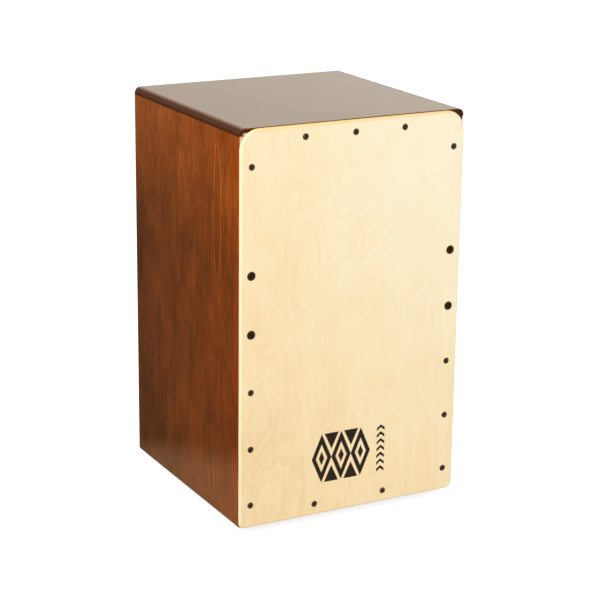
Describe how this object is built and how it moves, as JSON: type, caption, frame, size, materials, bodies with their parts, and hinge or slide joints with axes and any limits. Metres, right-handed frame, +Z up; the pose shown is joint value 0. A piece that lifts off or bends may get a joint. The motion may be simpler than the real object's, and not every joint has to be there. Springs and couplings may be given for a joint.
{
  "type": "cajon",
  "caption": "Box drum to sit on: plywood body with a thin struck front plate, a round sound hole behind, rubber feet and an adjustable snare carriage.",
  "frame": {"origin": "centre of the footprint on the floor, under the feet", "axes": "+Z up; -Y towards the listener, out of the struck front plate; +X to the right as seen from the front"},
  "size_m": [0.302, 0.302, 0.5],
  "materials": {
    "stained_birch": "birch plywood stained brown under a satin lacquer",
    "natural_birch": "thin natural birch plywood under a satin lacquer",
    "plain_plywood": "bare birch plywood",
    "softwood": "bare planed softwood",
    "black_steel": "black oxide steel, slightly oily",
    "zinc_steel": "bright zinc plate",
    "brass": "plain brass",
    "snare_steel": "bright coiled steel wire",
    "rubber": "moulded black rubber, matte"
  },
  "bodies": {
    "cabinet": {"left_side_panel": "stained_birch", "right_side_panel": "stained_birch", "top_panel": "stained_birch", "bottom_panel": "stained_birch", "back_panel": "stained_birch", "front_plate": "natural_birch", "front_batten_left": "softwood", "front_batten_right": "softwood", "front_batten_top": "softwood", "front_batten_bottom": "softwood", "back_batten_left": "softwood", "back_batten_right": "softwood", "back_batten_top": "softwood", "back_batten_bottom": "softwood", "front_plate_screws": "black_steel", "foot_screws": "zinc_steel", "foot_washers": "zinc_steel", "rubber_foot_front_left": "rubber", "rubber_foot_front_right": "rubber", "rubber_foot_back_left": "rubber", "rubber_foot_back_right": "rubber"},
    "snare_carriage": {"snare_board": "plain_plywood", "snare_bracket_left": "zinc_steel", "snare_bracket_right": "zinc_steel", "bracket_nuts": "zinc_steel", "bracket_screws": "zinc_steel", "snare_end_plate_left": "brass", "snare_end_plate_right": "brass", "end_plate_screws": "brass", "snare_wires_left": "snare_steel", "snare_wires_right": "snare_steel"},
    "bolt_upper_left": {"snare_bolt_upper_left": "black_steel", "bolt_retainer_upper_left": "zinc_steel"},
    "bolt_upper_right": {"snare_bolt_upper_right": "black_steel", "bolt_retainer_upper_right": "zinc_steel"},
    "bolt_lower_left": {"snare_bolt_lower_left": "black_steel", "bolt_retainer_lower_left": "zinc_steel"},
    "bolt_lower_right": {"snare_bolt_lower_right": "black_steel", "bolt_retainer_lower_right": "zinc_steel"}
  },
  "joints": [
    {"name": "snare_slide", "type": "slide", "parent": "cabinet", "child": "snare_carriage", "axis": [0, 1, 0], "range_m": [0, 0.004]},
    {"name": "turn_upper_left", "type": "hinge", "parent": "cabinet", "child": "bolt_upper_left", "pos_m": [-0.1365, -0.151, 0.3258], "axis": [0, -1, 0], "range_deg": [0, 1440]},
    {"name": "turn_upper_right", "type": "hinge", "parent": "cabinet", "child": "bolt_upper_right", "pos_m": [0.1365, -0.151, 0.3258], "axis": [0, -1, 0], "range_deg": [0, 1440]},
    {"name": "turn_lower_left", "type": "hinge", "parent": "cabinet", "child": "bolt_lower_left", "pos_m": [-0.1365, -0.151, 0.2541], "axis": [0, -1, 0], "range_deg": [0, 1440]},
    {"name": "turn_lower_right", "type": "hinge", "parent": "cabinet", "child": "bolt_lower_right", "pos_m": [0.1365, -0.151, 0.2541], "axis": [0, -1, 0], "range_deg": [0, 1440]}
  ],
  "couplings": [
    {"joint": "turn_upper_left", "follows": "snare_slide", "rad_per_m": 6283.2},
    {"joint": "turn_upper_right", "follows": "snare_slide", "rad_per_m": 6283.2},
    {"joint": "turn_lower_left", "follows": "snare_slide", "rad_per_m": 6283.2},
    {"joint": "turn_lower_right", "follows": "snare_slide", "rad_per_m": 6283.2}
  ]
}
